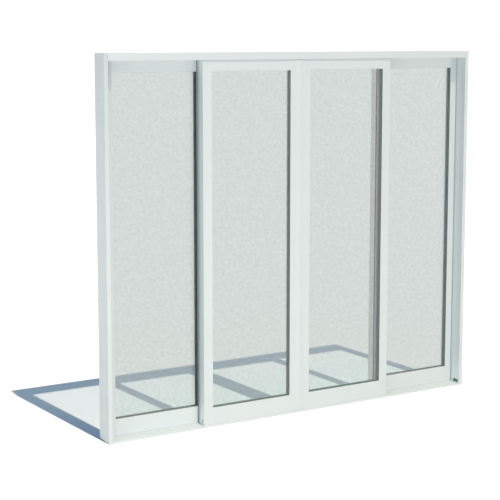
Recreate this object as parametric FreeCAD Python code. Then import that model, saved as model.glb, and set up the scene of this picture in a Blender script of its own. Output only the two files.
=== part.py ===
# Four-panel glass patio door: two fixed outer panels and two panels that slide outward in front of them.
# Millimetres. +X is to the right seen from the front, +Y goes into the opening, +Z is up.
# The origin is the middle of the sill's underside. The front, with the sliding panels, faces -Y.
import FreeCAD
import Part
import os

V = FreeCAD.Vector

# Frame
WIDTH = 2400.0
HEIGHT = 2100.0
DEPTH = 132.0
JAMB_FACE = 24.0
HEAD_FACE = 42.0
SILL_THICK = 12.0
EDGE = 1.5

# Channels in the head and the sill that the sliding panels run in
HEAD_CHANNEL = 18.0
SILL_CHANNEL = 5.0
CHANNEL_GAP = 3.0

# Panels: both rows have one thickness, and each row's front lies this far behind the frame's front
PANEL_THICK = 44.0
SLIDER_SETBACK = 7.0
FIXED_SETBACK = 81.0
ARRIS = 1.2

# Fixed panels, with a narrow groove where they meet the jambs
FIXED_LIFT = 1.0
FIXED_OUTER_STILE = 50.0
FIXED_GLASS_WIDTH = 501.0
FIXED_INNER_STILE = 61.0
FIXED_BOTTOM_RAIL = 95.0
FIXED_TOP_RAIL = 63.0
GROOVE_WIDE = 5.0
GROOVE_DEEP = 8.0

# Sliding panels: the lift is over the sill channel's floor, the entry is into the head channel
SLIDER_LIFT = 3.0
SLIDER_ENTRY = 10.0
MEETING_GAP = 5.0
MEETING_STILE = 63.5
SLIDER_OUTER_STILE = 56.0
SLIDER_OVERLAP = 58.0
SLIDER_BOTTOM_RAIL = 100.0
SLIDER_TOP_RAIL = 71.0

# Glazing: two panes and a spacer in a channel gasket, which sits in a groove behind a thin lip on each side
PANE = 4.0
PANE_GAP = 20.0
PANE_BED = 1.0
BITE = 12.0
GASKET_BASE = 4.0
LIP = 2.0
SPACER_HIGH = 8.0

# Seat ribs that the fixed panels stand on and are held by
RIB_WIDTH = 20.0
RIB_REACH = 20.0
SEAT_GAP = 0.3

# Track, its end stops and the rollers
TRACK_RIB = 6.0
TRACK_HIGH = 8.0
TRACK_BASE = 14.0
TRACK_FOOT = 2.0
RUN_GAP = 5.0
STOP_THICK = 4.0
STOP_SETBACK = 6.0
STOP_WIDE = 40.0
STOP_HIGH = 15.0
STOP_CORNER = 4.0
ROLLER_RADIUS = 14.0
ROLLER_WIDTH = 11.0
ROLLER_GROOVE = 3.0
AXLE_RADIUS = 4.0
AXLE_SEAT = 6.0
ROLLER_INSET = 90.0

# Wall fixings through the jambs, in the gap between the two rows of panels
FIXING_RADIUS = 4.0
FIXING_COUNT = 4
FIXING_END = 250.0

# Interlock hooks and their seal, and the astragal
HOOK_WALL = 3.0
FIXED_HOOK_REACH = 23.0
FIXED_HOOK_LIP = 10.0
SLIDER_HOOK_REACH = 23.0
HOOK_OVERLAP = 5.0
HOOK_CLEAR = 3.0
SEAL_WIDE = 10.0
SEAL_THICK = 2.0
SEAL_FROM_STILE = 8.0
ASTRAGAL_THICK = 2.0
ASTRAGAL_STAND = 2.0
ASTRAGAL_FOOT = 28.0
ASTRAGAL_TAPER = 22.0
ASTRAGAL_RIM = 0.5
ASTRAGAL_LAP = 9.0


def block(x0, x1, y0, y1, z0, z1):
    return Part.makeBox(x1 - x0, y1 - y0, z1 - z0, V(x0, y0, z0))


def along_x(outline, x0, x1):
    # A profile drawn as (y, z) points and run along the width
    points = [V(x0, y, z) for y, z in outline]
    return Part.Face(Part.makePolygon(points + points[:1])).extrude(V(x1 - x0, 0, 0))


def along_z(outline, z0, z1):
    # A profile drawn as (x, y) points and run up the height
    points = [V(x, y, z0) for x, y in outline]
    return Part.Face(Part.makePolygon(points + points[:1])).extrude(V(0, 0, z1 - z0))


def mirrored(shape):
    return shape.mirror(V(0, 0, 0), V(1, 0, 0))


parts = {}

# Places that the pieces share
front = -DEPTH / 2
back = DEPTH / 2
jamb_in = -WIDTH / 2 + JAMB_FACE
sill_top = SILL_THICK
head_low = HEIGHT - HEAD_FACE
slider_front = front + SLIDER_SETBACK
slider_back = slider_front + PANEL_THICK
slider_mid = (slider_front + slider_back) / 2
channel_front = slider_front - CHANNEL_GAP
channel_back = slider_back + CHANNEL_GAP
channel_floor = sill_top - SILL_CHANNEL
channel_roof = head_low + HEAD_CHANNEL
fixed_front = front + FIXED_SETBACK
fixed_back = fixed_front + PANEL_THICK
fixed_mid = (fixed_front + fixed_back) / 2

# The left fixed panel, from the jamb inward
fixed_glass_l = jamb_in + FIXED_OUTER_STILE
fixed_glass_r = fixed_glass_l + FIXED_GLASS_WIDTH
fixed_end = fixed_glass_r + FIXED_INNER_STILE
fixed_low = sill_top + FIXED_LIFT
fixed_glass_low = fixed_low + FIXED_BOTTOM_RAIL
fixed_glass_high = head_low - FIXED_TOP_RAIL

# The left sliding panel, from the overlap with the fixed panel to the middle
slider_l = fixed_end - SLIDER_OVERLAP
slider_r = -MEETING_GAP / 2
slider_glass_l = slider_l + SLIDER_OUTER_STILE
slider_glass_r = slider_r - MEETING_STILE
slider_low = channel_floor + SLIDER_LIFT
slider_high = head_low + SLIDER_ENTRY
slider_glass_low = slider_low + SLIDER_BOTTOM_RAIL
slider_glass_high = slider_high - SLIDER_TOP_RAIL

# What reaches past the faces of the sliding panels stays between the sill and the head
hook_low = sill_top + HOOK_CLEAR
hook_high = head_low - HOOK_CLEAR

# Seat ribs on the sill, head and jamb, and the groove that they need in the fixed panel
rib_front = fixed_mid - RIB_WIDTH / 2
rib_back = fixed_mid + RIB_WIDTH / 2
rib_low = fixed_low + RIB_REACH
rib_high = head_low - RIB_REACH
rib_side = jamb_in + RIB_REACH
sill_rib = block(jamb_in, fixed_end, rib_front, rib_back, sill_top, rib_low)
head_rib = block(jamb_in, fixed_end, rib_front, rib_back, rib_high, head_low)
jamb_rib = block(jamb_in, rib_side, rib_front, rib_back, rib_low, rib_high)


def seat_groove():
    lo = rib_front - SEAT_GAP
    hi = rib_back + SEAT_GAP
    low = block(jamb_in, fixed_end, lo, hi, fixed_low, rib_low)
    high = block(jamb_in, fixed_end, lo, hi, rib_high, head_low)
    side = block(jamb_in, rib_side + SEAT_GAP, lo, hi, fixed_low, head_low)
    return low.fuse([high, side])


# The frame
sill_outline = [
    (front, 0),
    (back, 0),
    (back, sill_top - EDGE),
    (back - EDGE, sill_top),
    (channel_back, sill_top),
    (channel_back, channel_floor),
    (channel_front, channel_floor),
    (channel_front, sill_top),
    (front + EDGE, sill_top),
    (front, sill_top - EDGE),
]
sill_plate = along_x(sill_outline, jamb_in, -jamb_in)
parts["sill"] = sill_plate.fuse([sill_rib, mirrored(sill_rib)]).removeSplitter()

head_outline = [
    (front, head_low + EDGE),
    (front + EDGE, head_low),
    (channel_front, head_low),
    (channel_front, channel_roof),
    (channel_back, channel_roof),
    (channel_back, head_low),
    (back - EDGE, head_low),
    (back, head_low + EDGE),
    (back, HEIGHT),
    (front, HEIGHT),
]
head_bar = along_x(head_outline, jamb_in, -jamb_in)
parts["head"] = head_bar.fuse([head_rib, mirrored(head_rib)]).removeSplitter()

jamb_outline = [
    (-WIDTH / 2, front),
    (jamb_in - EDGE, front),
    (jamb_in, front + EDGE),
    (jamb_in, back - EDGE),
    (jamb_in - EDGE, back),
    (-WIDTH / 2, back),
]
jamb = along_z(jamb_outline, 0, HEIGHT).fuse(jamb_rib).removeSplitter()
fixing_y = (slider_back + fixed_front) / 2
fixing_step = (HEIGHT - 2 * FIXING_END) / (FIXING_COUNT - 1)
for n in range(FIXING_COUNT):
    start = V(-WIDTH / 2, fixing_y, FIXING_END + n * fixing_step)
    jamb = jamb.cut(Part.makeCylinder(FIXING_RADIUS, JAMB_FACE, start, V(1, 0, 0)))
parts["left_jamb"] = jamb

rib_half = TRACK_RIB / 2
track_top = channel_floor + TRACK_HIGH
foot_top = channel_floor + TRACK_FOOT
track_outline = [
    (slider_mid - TRACK_BASE / 2, channel_floor),
    (slider_mid + TRACK_BASE / 2, channel_floor),
    (slider_mid + TRACK_BASE / 2, foot_top),
    (slider_mid + rib_half, foot_top),
    (slider_mid + rib_half, track_top - EDGE),
    (slider_mid + rib_half - EDGE, track_top),
    (slider_mid - rib_half + EDGE, track_top),
    (slider_mid - rib_half, track_top - EDGE),
    (slider_mid - rib_half, foot_top),
    (slider_mid - TRACK_BASE / 2, foot_top),
]
parts["slider_track"] = along_x(track_outline, jamb_in, -jamb_in)

# A rubber pad on each jamb's foot, over the end of the track, stops the sliding panel
stop_low = track_top + SEAT_GAP
stop_high = stop_low + STOP_HIGH
stop_front = slider_front + STOP_SETBACK
stop_back = stop_front + STOP_WIDE
stop_outline = [
    (stop_front, stop_low),
    (stop_back, stop_low),
    (stop_back, stop_high - STOP_CORNER),
    (stop_back - STOP_CORNER, stop_high),
    (stop_front + STOP_CORNER, stop_high),
    (stop_front, stop_high - STOP_CORNER),
]
stop = along_x(stop_outline, jamb_in, jamb_in + STOP_THICK)
parts["track_stops"] = Part.makeCompound([stop, mirrored(stop)])

# Glazing of one panel, from the clear opening in its frame
unit_thick = 2 * PANE + PANE_GAP


def glazing(name, x0, x1, z0, z1, panel_front):
    def slab(grow, y0, y1):
        return block(x0 - grow, x1 + grow, y0, y1, z0 - grow, z1 + grow)

    def rim(grow, y):
        left, right, low, high = x0 - grow, x1 + grow, z0 - grow, z1 + grow
        corners = [V(left, y, low), V(right, y, low), V(right, y, high), V(left, y, high)]
        return Part.makePolygon(corners + corners[:1])

    groove_front = panel_front + LIP
    groove_back = panel_front + PANEL_THICK - LIP
    unit_front = groove_front + PANE_BED
    unit_back = unit_front + unit_thick
    groove = slab(BITE + GASKET_BASE, groove_front, groove_back)
    unit = slab(BITE, unit_front, unit_back)
    clear = slab(0, groove_front, groove_back)
    parts[name + "_glazing_gasket"] = groove.cut(clear).cut(unit)
    parts[name + "_front_pane"] = slab(BITE, unit_front, unit_front + PANE)
    parts[name + "_back_pane"] = slab(BITE, unit_back - PANE, unit_back)
    ring_front = unit_front + PANE
    ring_back = unit_back - PANE
    ring = slab(BITE, ring_front, ring_back)
    parts[name + "_pane_spacer"] = ring.cut(slab(BITE - SPACER_HIGH, ring_front, ring_back))

    # The opening's front edge loses its sharp arris, mitred at the corners
    arris = Part.makeLoft([rim(ARRIS, panel_front), rim(0, panel_front + ARRIS)], True, True)
    return Part.makeCompound([groove, arris])


# Left fixed panel
name = "left_fixed"
groove = glazing(name, fixed_glass_l, fixed_glass_r, fixed_glass_low, fixed_glass_high, fixed_front)
seat = seat_groove()
outer_outline = [
    (jamb_in, fixed_front + GROOVE_DEEP),
    (jamb_in + GROOVE_WIDE, fixed_front + GROOVE_DEEP),
    (jamb_in + GROOVE_WIDE, fixed_front + ARRIS),
    (jamb_in + GROOVE_WIDE + ARRIS, fixed_front),
    (fixed_glass_l, fixed_front),
    (fixed_glass_l, fixed_back),
    (jamb_in, fixed_back),
]
outer = along_z(outer_outline, fixed_low, head_low)
parts[name + "_outer_stile"] = outer.cut(seat).cut(groove)

# The inner stile's hook reaches forward and turns back toward the fixed glass
hook_front = fixed_front - FIXED_HOOK_REACH
inner_outline = [
    (fixed_glass_r, fixed_back),
    (fixed_glass_r, fixed_front),
    (fixed_end - HOOK_WALL, fixed_front),
    (fixed_end - HOOK_WALL, hook_front + HOOK_WALL),
    (fixed_end - HOOK_WALL - FIXED_HOOK_LIP, hook_front + HOOK_WALL),
    (fixed_end - HOOK_WALL - FIXED_HOOK_LIP, hook_front),
    (fixed_end, hook_front),
    (fixed_end, fixed_back),
]
inner = along_z(inner_outline, fixed_low, head_low)
parts[name + "_inner_stile"] = inner.cut(seat).cut(groove)
low = block(fixed_glass_l, fixed_glass_r, fixed_front, fixed_back, fixed_low, fixed_glass_low)
parts[name + "_bottom_rail"] = low.cut(seat).cut(groove)
high = block(fixed_glass_l, fixed_glass_r, fixed_front, fixed_back, fixed_glass_high, head_low)
parts[name + "_top_rail"] = high.cut(seat).cut(groove)
seal_back = fixed_front - SEAL_FROM_STILE
parts["left_interlock_seal"] = block(
    fixed_end,
    fixed_end + SEAL_THICK,
    seal_back - SEAL_WIDE,
    seal_back,
    fixed_low,
    head_low,
)

# Left sliding panel
name = "left_slider"
groove = glazing(
    name, slider_glass_l, slider_glass_r, slider_glass_low, slider_glass_high, slider_front
)
run_half = rib_half + RUN_GAP
axle_z = track_top + SEAT_GAP + ROLLER_RADIUS - ROLLER_GROOVE
well_top = axle_z + ROLLER_RADIUS + RUN_GAP
track_slot = block(
    slider_l, slider_r, slider_mid - run_half, slider_mid + run_half, slider_low, well_top
)

# The outer stile's hook carries its side on backward and turns toward the middle, behind the fixed hook
hook_back = slider_back + SLIDER_HOOK_REACH
hook_tip = fixed_end - HOOK_WALL - FIXED_HOOK_LIP + HOOK_OVERLAP
outer_outline = [
    (slider_l, slider_front + ARRIS),
    (slider_l + ARRIS, slider_front),
    (slider_glass_l, slider_front),
    (slider_glass_l, slider_back),
    (slider_l, slider_back),
]
hook_outline = [
    (slider_l, slider_back),
    (slider_l + HOOK_WALL, slider_back),
    (slider_l + HOOK_WALL, hook_back - HOOK_WALL),
    (hook_tip, hook_back - HOOK_WALL),
    (hook_tip, hook_back),
    (slider_l, hook_back),
]
outer = along_z(outer_outline, slider_low, slider_high)
outer = outer.fuse(along_z(hook_outline, hook_low, hook_high))
parts[name + "_outer_stile"] = outer.cut(track_slot).cut(groove)
meeting = block(slider_glass_r, slider_r, slider_front, slider_back, slider_low, slider_high)
parts[name + "_meeting_stile"] = meeting.cut(track_slot).cut(groove)
high = block(
    slider_glass_l, slider_glass_r, slider_front, slider_back, slider_glass_high, slider_high
)
parts[name + "_top_rail"] = high.cut(groove)

# Rollers: a grooved wheel and its axle, turned in one piece, in bearings drilled in the bottom rail
axle_half = run_half + AXLE_SEAT
bearing_half = axle_half + SEAT_GAP
low = block(
    slider_glass_l, slider_glass_r, slider_front, slider_back, slider_low, slider_glass_low
)
low = low.cut(track_slot).cut(groove)
for end, roller_x in (
    ("_outer_roller", slider_glass_l + ROLLER_INSET),
    ("_meeting_roller", slider_glass_r - ROLLER_INSET),
):
    start = V(roller_x, slider_mid - bearing_half, axle_z)
    bearing = Part.makeCylinder(AXLE_RADIUS + SEAT_GAP, 2 * bearing_half, start, V(0, 1, 0))
    low = low.cut(bearing)
    half = ROLLER_WIDTH / 2
    root = ROLLER_RADIUS - ROLLER_GROOVE
    side = [
        (0, -axle_half),
        (AXLE_RADIUS, -axle_half),
        (AXLE_RADIUS, -half),
        (ROLLER_RADIUS, -half),
        (root, -rib_half - SEAT_GAP + EDGE),
        (root, rib_half + SEAT_GAP - EDGE),
        (ROLLER_RADIUS, half),
        (AXLE_RADIUS, half),
        (AXLE_RADIUS, axle_half),
        (0, axle_half),
    ]
    points = [V(roller_x + r, slider_mid + y, axle_z) for r, y in side]
    face = Part.Face(Part.makePolygon(points + points[:1]))
    roller = face.revolve(V(roller_x, slider_mid, axle_z), V(0, 1, 0), 360)
    parts[name + end] = roller
parts[name + "_bottom_rail"] = low

# Right side: every left-hand piece mirrored
for key in [k for k in parts if k.startswith("left_")]:
    parts[key.replace("left_", "right_", 1)] = mirrored(parts[key])

# The astragal stands on the left sliding panel, rises from a thin rim and laps over the right one
strip_front = slider_front - ASTRAGAL_STAND - ASTRAGAL_THICK
strip_inner = slider_front - ASTRAGAL_STAND
astragal_outline = [
    (slider_r - ASTRAGAL_FOOT, slider_front),
    (slider_r - ASTRAGAL_FOOT, slider_front - ASTRAGAL_RIM),
    (slider_r - ASTRAGAL_FOOT + ASTRAGAL_TAPER, strip_front),
    (-slider_r + ASTRAGAL_LAP - EDGE, strip_front),
    (-slider_r + ASTRAGAL_LAP, strip_front + EDGE),
    (-slider_r + ASTRAGAL_LAP, strip_inner),
    (slider_r, strip_inner),
    (slider_r, slider_front),
]
parts["left_slider_astragal"] = along_z(astragal_outline, hook_low, hook_high)

os.makedirs("parts", exist_ok=True)
for key in sorted(parts):
    shape = parts[key]
    shape.exportStep("parts/" + key + ".step")
    print(key, len(shape.Solids), round(shape.Volume), shape.isValid())
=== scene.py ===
# %% [markdown]
# # A four-panel glass patio door
# The door is a white frame with four panels of sealed double glazing. The outer two are fixed. The middle two roll on
# a track on the sill and slide outward in front of them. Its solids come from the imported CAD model, which already has
# every bar, pane and roller at its true size, so this lesson is about finish and light: it loads the solids, sets up
# the camera, ground and sun, and then makes one material for each thing that the door is made of.

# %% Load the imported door
import bpy
import bmesh
from math import radians
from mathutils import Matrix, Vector


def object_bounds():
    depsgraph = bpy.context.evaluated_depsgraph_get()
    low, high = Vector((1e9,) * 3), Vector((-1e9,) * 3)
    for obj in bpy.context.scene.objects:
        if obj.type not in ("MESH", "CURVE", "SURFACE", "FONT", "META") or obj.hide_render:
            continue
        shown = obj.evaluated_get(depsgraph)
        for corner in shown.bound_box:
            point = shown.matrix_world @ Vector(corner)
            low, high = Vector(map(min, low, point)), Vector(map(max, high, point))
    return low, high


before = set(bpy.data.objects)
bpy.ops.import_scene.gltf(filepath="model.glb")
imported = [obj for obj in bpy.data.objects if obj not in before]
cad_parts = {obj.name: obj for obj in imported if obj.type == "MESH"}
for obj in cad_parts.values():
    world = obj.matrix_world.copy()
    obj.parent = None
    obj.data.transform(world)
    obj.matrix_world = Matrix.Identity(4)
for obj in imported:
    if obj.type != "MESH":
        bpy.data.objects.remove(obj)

solid_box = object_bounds()
print("solids:", len(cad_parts), "box:", solid_box)

# %% [markdown]
# ## The camera
# The picture is taken from the front left, a little above head height, with a long lens. A building photographer keeps
# the uprights upright by shifting the lens instead of tilting the camera. Here the two share the work: the camera
# tilts down about seven degrees and the lens shifts a little, so the uprights stay nearly parallel and the door also
# stays inside the frame when the camera is moved round it.

# %% Camera
FILM_WIDTH = 36.0
LENS = 87.823
SHIFT = -0.13
CAMERA_AT = (-3.6126, -5.9992, 2.1774)
TILT_DOWN = 6.87
TURNED_RIGHT = 28.93
SEES_AS_FAR_AS = 2000.0

lens = bpy.data.cameras.new("camera")
lens.sensor_width = FILM_WIDTH
lens.lens = LENS
lens.shift_y = SHIFT
lens.clip_end = SEES_AS_FAR_AS
camera = bpy.data.objects.new("camera", lens)
camera.location = CAMERA_AT
camera.rotation_euler = (radians(90 - TILT_DOWN), 0, radians(-TURNED_RIGHT))
bpy.context.scene.collection.objects.link(camera)
bpy.context.scene.camera = camera
bpy.context.scene.view_settings.view_transform = "Standard"
print("camera at", CAMERA_AT, "lens", LENS, "mm")

# %% [markdown]
# ## Choosing a colour by the kind of ray
# A renderer sends out rays for several reasons: some are what the camera looks along, some only gather light. The
# Light Path node tells them apart, so the world or a paint can show one colour and give light in another. Three small
# helpers write the nodes for that. A ray that has already bounced off something matt is only gathering light, also
# where it passes glass on its way.

# %% Colour by the kind of ray
NO_BOUNCE_YET = 0.5


def maths(tree, operation, one, other=0.0):
    """A Math node on two sockets or numbers."""
    node = tree.nodes.new("ShaderNodeMath")
    node.operation = operation
    for value, place in ((one, node.inputs[0]), (other, node.inputs[1])):
        if isinstance(value, bpy.types.NodeSocket):
            tree.links.new(value, place)
        else:
            place.default_value = value
    return node.outputs[0]


def pick_colour(tree, factor, start, change):
    """Goes from one colour to another. Each is a tuple or a socket."""
    node = tree.nodes.new("ShaderNodeMix")
    node.data_type = "RGBA"
    tree.links.new(factor, node.inputs["Factor"])
    for colour, place in ((start, node.inputs["A"]), (change, node.inputs["B"])):
        if isinstance(colour, bpy.types.NodeSocket):
            tree.links.new(colour, place)
        else:
            place.default_value = (*colour, 1)
    return node.outputs["Result"]


def by_ray(tree, lighting, seen, through_glass):
    """One colour for rays that light things, one for what is looked at, one for what is looked at through glass."""
    path = tree.nodes.new("ShaderNodeLightPath").outputs
    looked_at = maths(tree, "MAXIMUM", path["Is Camera Ray"], path["Is Glossy Ray"])
    not_bounced = maths(tree, "LESS_THAN", path["Diffuse Depth"], NO_BOUNCE_YET)
    looked_at = maths(tree, "MULTIPLY", looked_at, not_bounced)
    behind_glass = maths(tree, "MULTIPLY", path["Is Transmission Ray"], not_bounced)
    return pick_colour(tree, behind_glass, pick_colour(tree, looked_at, lighting, seen), through_glass)


print("rays are told apart by Light Path")

# %% [markdown]
# ## The sky
# Shaded faces of a white door take the colour of the sky, so the light that fills them is soft and slightly blue. The
# backdrop itself is plain white. One world can be both: a ray that comes straight from the camera, or by way of a
# reflection, gets white, and every other ray is lighting something and gets the sky. What is looked at through the
# glass is a little greyer than white, as a bright background is behind real double glazing. It has the tone that the
# far ground has there, so that no horizon shows across the panes.

# %% World
SKY = (0.413, 0.475, 0.544)
BACKDROP = (1.0, 1.0, 1.0)
BACKDROP_THROUGH_GLASS = (0.806, 0.795, 0.788)

world = bpy.data.worlds.new("sky")
bpy.context.scene.world = world
world.use_nodes = True
sky_colour = by_ray(world.node_tree, SKY, BACKDROP, BACKDROP_THROUGH_GLASS)
world.node_tree.links.new(sky_colour, world.node_tree.nodes["Background"].inputs["Color"])
print("sky", SKY, "backdrop", BACKDROP)

# %% [markdown]
# ## The sun's direction
# The shadows in the picture give the sun's direction. The far edge of the head's shadow lies a little over a metre
# behind the door, and the tip of the left jamb's shadow lies a hand's breadth to the left of the jamb.

# %% Sun direction
SUN_GOES = Vector((-0.070, 0.530, -1.0))

low, high = (Vector(corner) for corner in solid_box)
reach = Vector((SUN_GOES.x, SUN_GOES.y, 0)) * high.z
print("the top's shadow lands", tuple(round(v, 3) for v in reach), "m away")

# %% [markdown]
# ## Ground paint
# A plain pale ground keeps the door's shadow, and throws much of the sun back up at the door. A matt paint could have
# one colour for everything, but the ground would then be too bright a lamp under the door or too grey to look at. So
# it has one tone for the light that it throws back, one for the eye, and one for the eye behind the glass, because a
# bright ground looks a little grey behind real double glazing.

# %% Ground paint
GROUND_LIGHTING = (0.302, 0.380, 0.414)


def ground_paint(name):
    """A matt paint with no gloss at all, and its tree."""
    made = bpy.data.materials.new(name)
    made.use_nodes = True
    shader = made.node_tree.nodes["Principled BSDF"]
    shader.inputs["Roughness"].default_value = 1.0
    shader.inputs["Specular IOR Level"].default_value = 0.0
    return made, made.node_tree, shader


def colour_ground(tree, shader, seen, through_glass):
    """Gives the paint its three tones. Each is a tuple or a socket."""
    tree.links.new(by_ray(tree, GROUND_LIGHTING, seen, through_glass), shader.inputs["Base Color"])


print("ground throws back", GROUND_LIGHTING)

# %% [markdown]
# ## Sunny ground
# In the sun the ground looks plain white. It is one big square, far larger than the view, so that no edge of it shows
# through the glass. It lies a hair under the sill, because two faces in one plane flicker.

# %% Sunny ground
GROUND_HALF = 600.0
GROUND_LEVEL = -0.0004
GROUND_WHITE = (0.80, 0.88, 0.98)
GROUND_THROUGH_GLASS = (0.410, 0.528, 0.607)


def lay_down(name, bm, height, paint):
    """Turns a flat bmesh into a stage piece at this height."""
    bmesh.ops.translate(bm, verts=bm.verts, vec=(0, 0, height))
    mesh = bpy.data.meshes.new(name)
    bm.to_mesh(mesh)
    bm.free()
    piece = bpy.data.objects.new(name, mesh)
    mesh.materials.append(paint)
    bpy.context.scene.collection.objects.link(piece)
    return piece


sunny_paint, tree, shader = ground_paint("sunny_ground")
colour_ground(tree, shader, GROUND_WHITE, GROUND_THROUGH_GLASS)
bm = bmesh.new()
bmesh.ops.create_grid(bm, x_segments=1, y_segments=1, size=GROUND_HALF)
ground = lay_down("ground", bm, GROUND_LEVEL, sunny_paint)
print("ground", 2 * GROUND_HALF, "m across")

# %% [markdown]
# ## A tone that changes along a piece
# Shade and wear often follow the piece itself: deeper at one end, along one edge, or close to a neighbour. Object
# coordinates say where on the piece a point lies, and a smooth step turns one of them into an amount from 0 to 1. The
# pattern then belongs to the piece and looks the same from every side.

# %% Places on a piece
def own_place(tree):
    """X, Y and Z in the piece's own coordinates."""
    split = tree.nodes.new("ShaderNodeSeparateXYZ")
    tree.links.new(tree.nodes.new("ShaderNodeTexCoord").outputs["Object"], split.inputs[0])
    return split.outputs


def stepped(tree, value, start, end):
    """0 before start, 1 after end, and a smooth step between."""
    node = tree.nodes.new("ShaderNodeMapRange")
    node.interpolation_type = "SMOOTHSTEP"
    tree.links.new(value, node.inputs["Value"])
    node.inputs["From Min"].default_value = start
    node.inputs["From Max"].default_value = end
    return node.outputs["Result"]


print("smooth steps follow the piece's own coordinates")

# %% [markdown]
# ## Shaded ground
# The patch that the door shades is a second flat piece with the ground's true tone. Its outline is the door's own
# outline thrown on the ground, from the foot to where the sun throws the top edge. Close to the foot the door hides
# half of the sky, so the tone sinks there: most in the left jamb's own shadow, a strip that runs back along the sun's
# direction, and a little everywhere behind the glass.

# %% Shaded ground
PATCH_LEVEL = -0.0002
GROUND_TONE = (0.530, 0.660, 0.768)
FOOT_TONE = (0.34, 0.465, 0.64)
FOOT_THROUGH_GLASS = (0.470, 0.645, 0.765)
FOOT_REACH = 0.85
STRIP_EDGE = (0.070, 0.080)

shaded_paint, tree, shader = ground_paint("shaded_ground")
place = own_place(tree)
near_foot = maths(tree, "SUBTRACT", 1.0, stepped(tree, place["Y"], high.y, high.y + FOOT_REACH))
along_sun = maths(tree, "ADD", place["X"], maths(tree, "MULTIPLY", place["Y"], -SUN_GOES.x / SUN_GOES.y))
past_strip = stepped(tree, along_sun, low.x + STRIP_EDGE[0], low.x + STRIP_EDGE[1])
in_strip = maths(tree, "SUBTRACT", 1.0, past_strip)
seen = pick_colour(tree, maths(tree, "MULTIPLY", near_foot, in_strip), GROUND_TONE, FOOT_TONE)
colour_ground(tree, shader, seen, pick_colour(tree, near_foot, GROUND_TONE, FOOT_THROUGH_GLASS))

bm = bmesh.new()
for x, y, thrown in ((low.x, low.y, 0), (high.x, low.y, 0), (high.x, high.y, 0),
                     (high.x, high.y, 1), (low.x, high.y, 1), (low.x, low.y, 1)):
    bm.verts.new(Vector((x, y, 0)) + reach * thrown)
bmesh.ops.contextual_create(bm, geom=bm.verts)
shade_patch = lay_down("shade_patch", bm, PATCH_LEVEL, shaded_paint)
print("shade patch", [round(v, 3) for v in shade_patch.dimensions])

# %% [markdown]
# ## The sun, twice
# A pale ground in full sun is many times brighter than its shadow, but bright satin white paint in the picture is only
# a little brighter in the sun than out of it. Two lamps in one direction give both: a strong one that lights only the
# ground, whose shadow is deep and crisp, and a gentle one for the door. Light linking says which surfaces each lights.
# Double glazing takes over a quarter of the sun, so the lit ground behind the panels is duller than in a doorway that
# stands open, where the strong sun makes it white.

# %% Suns
GROUND_SUN = (5.13, (1.0, 0.682, 0.500))
DOOR_SUN = (1.23, (1.0, 0.89, 0.66))
SUN_DISC = 0.6


def sun_lamp(name, strength, colour):
    """A sun along SUN_GOES, whose disc is SUN_DISC degrees wide."""
    lamp = bpy.data.lights.new(name, "SUN")
    lamp.energy = strength
    lamp.color = colour
    lamp.angle = radians(SUN_DISC)
    sun = bpy.data.objects.new(name, lamp)
    sun.rotation_euler = SUN_GOES.to_track_quat("-Z", "Y").to_euler()
    bpy.context.scene.collection.objects.link(sun)
    return sun


def lights_only(lamp, pieces, state):
    """Makes a lamp light only these pieces (INCLUDE) or all but these (EXCLUDE)."""
    chosen = bpy.data.collections.new(lamp.name + "_pieces")
    for piece in pieces:
        chosen.objects.link(piece)
    for entry in chosen.collection_objects:
        entry.light_linking.link_state = state
    lamp.light_linking.receiver_collection = chosen


lights_only(sun_lamp("ground_sun", *GROUND_SUN), (ground, shade_patch), "INCLUDE")
lights_only(sun_lamp("door_sun", *DOOR_SUN), (ground, shade_patch), "EXCLUDE")
print("two suns along", tuple(round(v, 3) for v in SUN_GOES.normalized()))

# %% [markdown]
# ## Soft boxes
# The bars are a little brighter near the ground and on the side toward the camera, and the recesses aren't dark, so
# most of the light on them is wide and soft. Big soft boxes in front, on the left and behind give that, and a long low
# one lights the foot. Two small ones open up deep shade, as a photographer's reflector does, and light only the bars
# named: the fixed panels' top rails under the head, and the side of the left sliding panel. The camera and the glass
# don't see any of the boxes.

# %% Soft boxes
SHADE_UNDER_HEAD = ("left_fixed_top_rail", "right_fixed_top_rail")
SLIDER_SIDE = ("left_slider_outer_stile",)
SOFT_BOXES = (  # name, place, width and height, watts, colour, the only bars it lights
    ("front_box", (0.0, -6.0, 1.0), (3.0, 3.0), 22.0, (0.94, 1.0, 0.78), ()),
    ("left_box", (-3.441, -4.915, 0.8), (3.0, 3.0), 92.0, (0.76, 0.85, 1.0), ()),
    ("far_left_box", (-5.638, -2.052, 0.8), (3.0, 3.0), 50.0, (0.75, 1.0, 0.94), ()),
    ("low_box", (0.0, -2.0, 0.15), (4.0, 0.3), 4.0, (1.0, 0.89, 0.90), ()),
    ("back_box", (1.5, 5.5, 1.2), (3.0, 3.0), 75.0, (0.90, 0.95, 1.0), ()),
    ("shade_box", (1.6, -4.0, 1.2), (3.0, 1.0), 20.0, (1.0, 1.0, 0.98), SHADE_UNDER_HEAD),
    ("side_box", (-5.0, -0.3, 1.0), (1.0, 2.0), 27.0, (1.0, 1.0, 1.0), SLIDER_SIDE),
)
BOXES_AIM_AT = Vector((0, 0, 1.0))

for name, place, (wide, tall), power, colour, only in SOFT_BOXES:
    lamp = bpy.data.lights.new(name, "AREA")
    lamp.shape = "RECTANGLE"
    lamp.size, lamp.size_y = wide, tall
    lamp.energy = power
    lamp.color = colour
    box = bpy.data.objects.new(name, lamp)
    box.location = place
    box.rotation_euler = (BOXES_AIM_AT - box.location).to_track_quat("-Z", "Y").to_euler()
    box.visible_camera = box.visible_glossy = box.visible_transmission = False
    bpy.context.scene.collection.objects.link(box)
    if only:
        lights_only(box, [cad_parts[node] for node in only], "INCLUDE")
    else:
        lights_only(box, (ground, shade_patch), "EXCLUDE")
    print(name, "of", wide, "x", tall, "m,", power, "W")

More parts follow.
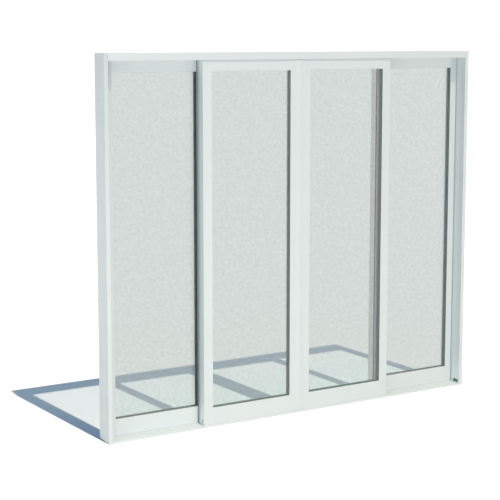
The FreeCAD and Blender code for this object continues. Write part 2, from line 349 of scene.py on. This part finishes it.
# %% [markdown]
# ## Noise for finishes
# Every finish starts from Blender's Principled shader and from the Object coordinates, which stick to the piece when
# it slides. A noise texture in those coordinates gives the small unevenness that tells the eye what a thing is made
# of. Its middle values are stretched to the full range, because noise seldom comes near 0 or 1.

# %% Noise for finishes
NOISE_MIDDLE = (0.3, 0.7)


def new_finish(name):
    """A material, its node tree, its shader and the Object coordinates."""
    made = bpy.data.materials.new(name)
    made.use_nodes = True
    tree = made.node_tree
    place = tree.nodes.new("ShaderNodeTexCoord").outputs["Object"]
    return made, tree, tree.nodes["Principled BSDF"], place


def noise(tree, place, scale, detail, stretch=(1, 1, 1)):
    """Noise with features about 1/scale metres across, squeezed along an axis by stretch."""
    squeeze = tree.nodes.new("ShaderNodeMapping")
    squeeze.inputs["Scale"].default_value = stretch
    tree.links.new(place, squeeze.inputs["Vector"])
    texture = tree.nodes.new("ShaderNodeTexNoise")
    texture.inputs["Scale"].default_value = scale
    texture.inputs["Detail"].default_value = detail
    tree.links.new(squeeze.outputs["Vector"], texture.inputs["Vector"])
    return texture.outputs["Fac"]


def spread(tree, value, lowest, highest, socket):
    """Stretches a noise value to lowest..highest and plugs it into a socket."""
    fit = tree.nodes.new("ShaderNodeMapRange")
    fit.inputs["From Min"].default_value, fit.inputs["From Max"].default_value = NOISE_MIDDLE
    fit.inputs["To Min"].default_value, fit.inputs["To Max"].default_value = lowest, highest
    tree.links.new(value, fit.inputs["Value"])
    tree.links.new(fit.outputs["Result"], socket)


print("noise is stretched from", NOISE_MIDDLE)

# %% [markdown]
# ## Tone and bump
# A real surface is never one flat colour. Its tone drifts between two close values, its gloss drifts too, and the
# surface has its own small relief. A mix of two tones, driven by noise, gives the first, and a bump gives the last
# without any more faces.

# %% Tone and bump
def two_tone(tree, value, one, other, shader):
    """A base colour that drifts between two tones with a noise value."""
    blend = tree.nodes.new("ShaderNodeMix")
    blend.data_type = "RGBA"
    blend.inputs["A"].default_value = (*one, 1)
    blend.inputs["B"].default_value = (*other, 1)
    spread(tree, value, 0.0, 1.0, blend.inputs["Factor"])
    tree.links.new(blend.outputs["Result"], shader.inputs["Base Color"])


def bump(tree, value, height, strength, shader):
    """Raises the surface by a noise value. The height is in metres."""
    raised = tree.nodes.new("ShaderNodeBump")
    raised.inputs["Distance"].default_value = height
    raised.inputs["Strength"].default_value = strength
    tree.links.new(value, raised.inputs["Height"])
    tree.links.new(raised.outputs["Normal"], shader.inputs["Normal"])


print("helpers for tone and bump are ready")

# %% [markdown]
# ## White powder coat
# The bars are aluminium with a baked powder paint: satin, slightly cool white, with the fine orange-peel dimples that
# melted powder leaves. The dimples are about a millimetre across and a few hundredths deep. The tone drifts by one or
# two parts in a hundred over half a metre, and the gloss drifts with it, which keeps long bars from looking like paper.
# The sill and the right jamb get a lighter copy of the same paint: painted light, where they catch more light.

# %% White powder coat
WHITE, WHITE_DULLER = (0.815, 0.850, 0.840), (0.790, 0.825, 0.822)
LIT_COPY, LIT_COPY_DULLER = (0.830, 0.868, 0.870), (0.808, 0.845, 0.847)
DRIFT_SCALE, DRIFT_DETAIL = 2.2, 3.0
SATIN_SCALE, SATIN_DETAIL = 6.0, 4.0
SATIN = (0.32, 0.44)
DIMPLE_SCALE, DIMPLE_DETAIL = 850.0, 1.0
DIMPLE_HEIGHT, DIMPLE_STRENGTH = 0.00006, 0.35


def powder(name, tone=WHITE, duller=WHITE_DULLER):
    """Baked powder paint that drifts between two tones, its tree and its shader."""
    made, tree, shader, place = new_finish(name)
    two_tone(tree, noise(tree, place, DRIFT_SCALE, DRIFT_DETAIL), tone, duller, shader)
    spread(tree, noise(tree, place, SATIN_SCALE, SATIN_DETAIL), *SATIN, shader.inputs["Roughness"])
    bump(tree, noise(tree, place, DIMPLE_SCALE, DIMPLE_DETAIL), DIMPLE_HEIGHT, DIMPLE_STRENGTH, shader)
    return made, tree, shader


powder_coat = powder("white_powder_coat")[0]
# A lighter copy of the white, painted light for the sill and the right jamb.
lit_copy_coat = powder("lit_copy_powder_coat", LIT_COPY, LIT_COPY_DULLER)[0]
print("made", powder_coat.name, lit_copy_coat.name)

# %% [markdown]
# ## Coats with painted shade along the bar
# Three kinds of bar have the same white, blended toward a deeper tone along one axis, which is painted shade. The
# sliding panels' hooked stiles darken toward the narrow gap between the two rows, where little light gets in. The fixed
# panels' inner stiles have a narrow darker line along the glass, painted shade of the sliding panel's stile close in
# front. The left jamb is painted darker toward its top, which stands furthest from the bright ground and gets less of
# its light. The spans are in metres along that axis.

# %% Coats with painted shade along the bar
HOOK_SHADE, HOOK_SHADE_SPAN = (0.42, 0.47, 0.46), (-0.028, 0.012)
EDGE_SHADE, EDGE_SHADE_SPAN = (0.33, 0.37, 0.37), (0.617, 0.621)
PAINTED_JAMB_SHADE, PAINTED_JAMB_SHADE_SPAN = (0.715, 0.755, 0.755), (0.8, 2.3)


def sink(tree, shader, amount, deepest):
    """Blends the base colour toward a deeper tone, by an amount from 0 to 1."""
    base = shader.inputs["Base Color"]
    tree.links.new(pick_colour(tree, amount, base.links[0].from_socket, deepest), base)


def from_middle(tree):
    """How far to the left or right of the door's middle a point lies."""
    return maths(tree, "ABSOLUTE", own_place(tree)["X"])


# Painted shade toward the gap between the rows.
hook_coat, tree, shader = powder("white_hook_coat")
sink(tree, shader, stepped(tree, own_place(tree)["Y"], *HOOK_SHADE_SPAN), HOOK_SHADE)
# Painted shade: a dark line along the glass, where the sliding panel's stile stands close in front.
edge_shade_coat, tree, shader = powder("edge_shade_powder_coat")
sink(tree, shader, stepped(tree, from_middle(tree), *EDGE_SHADE_SPAN), EDGE_SHADE)
# Painted shade: darker toward the top, furthest from the light thrown up by the ground.
jamb_top_shade_coat, tree, shader = powder("jamb_top_shade_powder")
sink(tree, shader, stepped(tree, own_place(tree)["Z"], *PAINTED_JAMB_SHADE_SPAN), PAINTED_JAMB_SHADE)
print("made", hook_coat.name, edge_shade_coat.name, jamb_top_shade_coat.name)

# %% [markdown]
# ## Glass
# Each panel has two panes of clear float glass, whose iron gives a faint green. Real thickness does the work: rays
# bend in and out of each pane, and its four faces each reflect some of the bright surroundings, which is why the view
# through the door looks a little milky. A thin coating that keeps heat in makes a pane reflect more than bare glass
# does, hence an index above glass's 1.5, and leaves a faint fine mottle. Rays to the lamps would be stopped by the
# panes, so for those alone the shader is a plain tinted see-through one, and the ground behind is lit.

# %% Glass
GLASS, GLASS_MOTTLED = (0.917, 0.957, 0.944), (0.854, 0.893, 0.885)
MOTTLE_SCALE, MOTTLE_DETAIL = 60.0, 1.0
COATED_IOR = 1.72
SUN_THROUGH_A_FACE = (0.918, 0.936, 0.928, 1)

clear_glass, tree, shader, place = new_finish("clear_glass")
two_tone(tree, noise(tree, place, MOTTLE_SCALE, MOTTLE_DETAIL), GLASS, GLASS_MOTTLED, shader)
shader.inputs["Transmission Weight"].default_value = 1.0
shader.inputs["Roughness"].default_value = 0.0
shader.inputs["IOR"].default_value = COATED_IOR
to_lamp = tree.nodes.new("ShaderNodeBsdfTransparent")
to_lamp.inputs["Color"].default_value = SUN_THROUGH_A_FACE
path = tree.nodes.new("ShaderNodeLightPath")
either = tree.nodes.new("ShaderNodeMixShader")
tree.links.new(path.outputs["Is Shadow Ray"], either.inputs["Fac"])
tree.links.new(shader.outputs["BSDF"], either.inputs[1])
tree.links.new(to_lamp.outputs["BSDF"], either.inputs[2])
tree.links.new(either.outputs["Shader"], tree.nodes["Material Output"].inputs["Surface"])
print("made", clear_glass.name)

# %% [markdown]
# ## Rubber
# The panes are held in a black rubber channel. Only its inner faces show, as the dark line round each pane. It is matt,
# with a little pale dust that settles unevenly. Its tone is deepest where a sliding panel's stile stands close in front
# and hardly any light gets in. That place follows from the panels' sizes: it lies about 0.6 metres to each side.

# %% Rubber
GAP_STARTS, GAP_ENDS = (0.590, 0.605), (0.635, 0.660)
RUBBER, RUBBER_DUSTY = (0.058, 0.156, 0.174), (0.076, 0.176, 0.196)
RUBBER_IN_GAP = (0.008, 0.018, 0.020)
DUST_SCALE, DUST_DETAIL = 25.0, 3.0
MATT_SCALE, MATT_DETAIL = 60.0, 3.0
RUBBER_MATT = (0.55, 0.75)
PORE_SCALE, PORE_DETAIL = 1200.0, 1.0
PORE_HEIGHT, PORE_STRENGTH = 0.00004, 0.4
RUBBER_SHINE = 0.3


def in_the_gap(tree):
    """1 where a sliding panel's stile stands close in front of a fixed panel's glass, else 0."""
    out = from_middle(tree)
    return maths(tree, "SUBTRACT", stepped(tree, out, *GAP_STARTS), stepped(tree, out, *GAP_ENDS))


black_rubber, tree, shader, place = new_finish("black_rubber")
two_tone(tree, noise(tree, place, DUST_SCALE, DUST_DETAIL), RUBBER, RUBBER_DUSTY, shader)
sink(tree, shader, in_the_gap(tree), RUBBER_IN_GAP)
spread(tree, noise(tree, place, MATT_SCALE, MATT_DETAIL), *RUBBER_MATT, shader.inputs["Roughness"])
bump(tree, noise(tree, place, PORE_SCALE, PORE_DETAIL), PORE_HEIGHT, PORE_STRENGTH, shader)
shader.inputs["Specular IOR Level"].default_value = RUBBER_SHINE
print("made", black_rubber.name)

# %% [markdown]
# ## Brush pile
# The seal between the two rows is a brush of fine pile, nearly black, because light is lost between its hairs. Fine
# noise, squeezed along the height, gives short flecks like the ends of hairs, and the pile has almost no shine.

# %% Brush pile
PILE, PILE_TIPS = (0.012, 0.024, 0.026), (0.024, 0.042, 0.044)
HAIR_SCALE, HAIR_DETAIL, HAIR_STRETCH = 900.0, 1.0, (1, 1, 3)
PILE_MATT = (0.80, 0.95)
PILE_SHINE = 0.15

black_pile, tree, shader, place = new_finish("black_brush_pile")
two_tone(tree, noise(tree, place, HAIR_SCALE, HAIR_DETAIL, HAIR_STRETCH), PILE, PILE_TIPS, shader)
spread(tree, noise(tree, place, MATT_SCALE, MATT_DETAIL), *PILE_MATT, shader.inputs["Roughness"])
shader.inputs["Specular IOR Level"].default_value = PILE_SHINE
print("made", black_pile.name)

# %% [markdown]
# ## Spacer bar
# Between the two panes of a unit runs a dark spacer bar, which keeps them apart and holds the drying beads. It is matt
# metal in a dark coat. It is paler beyond the gap between the rows, on the jambs' side, where it is open to the light,
# and nearly black within the gap.

# %% Spacer bar
SPACER, SPACER_PALER = (0.030, 0.148, 0.162), (0.044, 0.162, 0.176)
SPACER_OUTWARD = (0.228, 0.300, 0.308)
SPACER_IN_GAP = (0.006, 0.010, 0.011)
SPACER_SCALE, SPACER_MATT_SCALE, SPACER_DETAIL = 40.0, 200.0, 2.0
SPACER_MATT = (0.45, 0.60)

spacer_bar, tree, shader, place = new_finish("dark_spacer_bar")
two_tone(tree, noise(tree, place, SPACER_SCALE, SPACER_DETAIL), SPACER, SPACER_PALER, shader)
sink(tree, shader, stepped(tree, from_middle(tree), *GAP_ENDS), SPACER_OUTWARD)
sink(tree, shader, in_the_gap(tree), SPACER_IN_GAP)
spread(tree, noise(tree, place, SPACER_MATT_SCALE, SPACER_DETAIL), *SPACER_MATT, shader.inputs["Roughness"])
print("made", spacer_bar.name)

# %% [markdown]
# ## Nylon rollers
# The rollers under the sliding panels are turned from natural nylon, slightly yellow and waxy. They hardly show: only
# their lower edges come out of the bottom rails and stand on the white track. A little subsurface light gives the wax.

# %% Nylon rollers
NYLON, NYLON_YELLOWER = (0.72, 0.71, 0.67), (0.64, 0.63, 0.59)
NYLON_SCALE, NYLON_SATIN_SCALE, NYLON_DETAIL = 60.0, 150.0, 2.0
NYLON_SATIN = (0.38, 0.52)
WAX, WAX_DEPTH = 0.1, (0.003, 0.0028, 0.0024)

natural_nylon, tree, shader, place = new_finish("natural_nylon")
two_tone(tree, noise(tree, place, NYLON_SCALE, NYLON_DETAIL), NYLON, NYLON_YELLOWER, shader)
spread(tree, noise(tree, place, NYLON_SATIN_SCALE, NYLON_DETAIL), *NYLON_SATIN, shader.inputs["Roughness"])
shader.inputs["Subsurface Weight"].default_value = WAX
shader.inputs["Subsurface Radius"].default_value = WAX_DEPTH
print("made", natural_nylon.name)

# %% [markdown]
# ## Putting the finishes on
# The CAD record says which material slot each solid belongs to, and the solid's own material has that slot's name. The
# finish goes into the same place on the solid, so nothing has to be matched by eye. A second list names the few bars
# and seals that have a coat of their own.

# %% Put the finishes on
FINISH = {
    "white_frame": powder_coat,
    "glass": clear_glass,
    "gasket": black_rubber,
    "spacer": spacer_bar,
    "roller_nylon": natural_nylon,
}
OWN_FINISH = {
    # Painted light: a lighter copy of the white.
    "sill": lit_copy_coat,
    "right_jamb": lit_copy_coat,
    # Painted shade: darker toward the top.
    "left_jamb": jamb_top_shade_coat,
    # Painted shade toward the gap between the rows.
    "left_slider_outer_stile": hook_coat,
    "right_slider_outer_stile": hook_coat,
    # A painted shade line along the glass.
    "left_fixed_inner_stile": edge_shade_coat,
    "right_fixed_inner_stile": edge_shade_coat,
    "left_interlock_seal": black_pile,
    "right_interlock_seal": black_pile,
}
for name, solid in sorted(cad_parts.items()):
    for holder in solid.material_slots:
        slot = holder.material.name if holder.material else "none"
        print(name, slot)
        for key, finish in FINISH.items():
            if slot.startswith(key):
                holder.material = OWN_FINISH.get(name, finish)
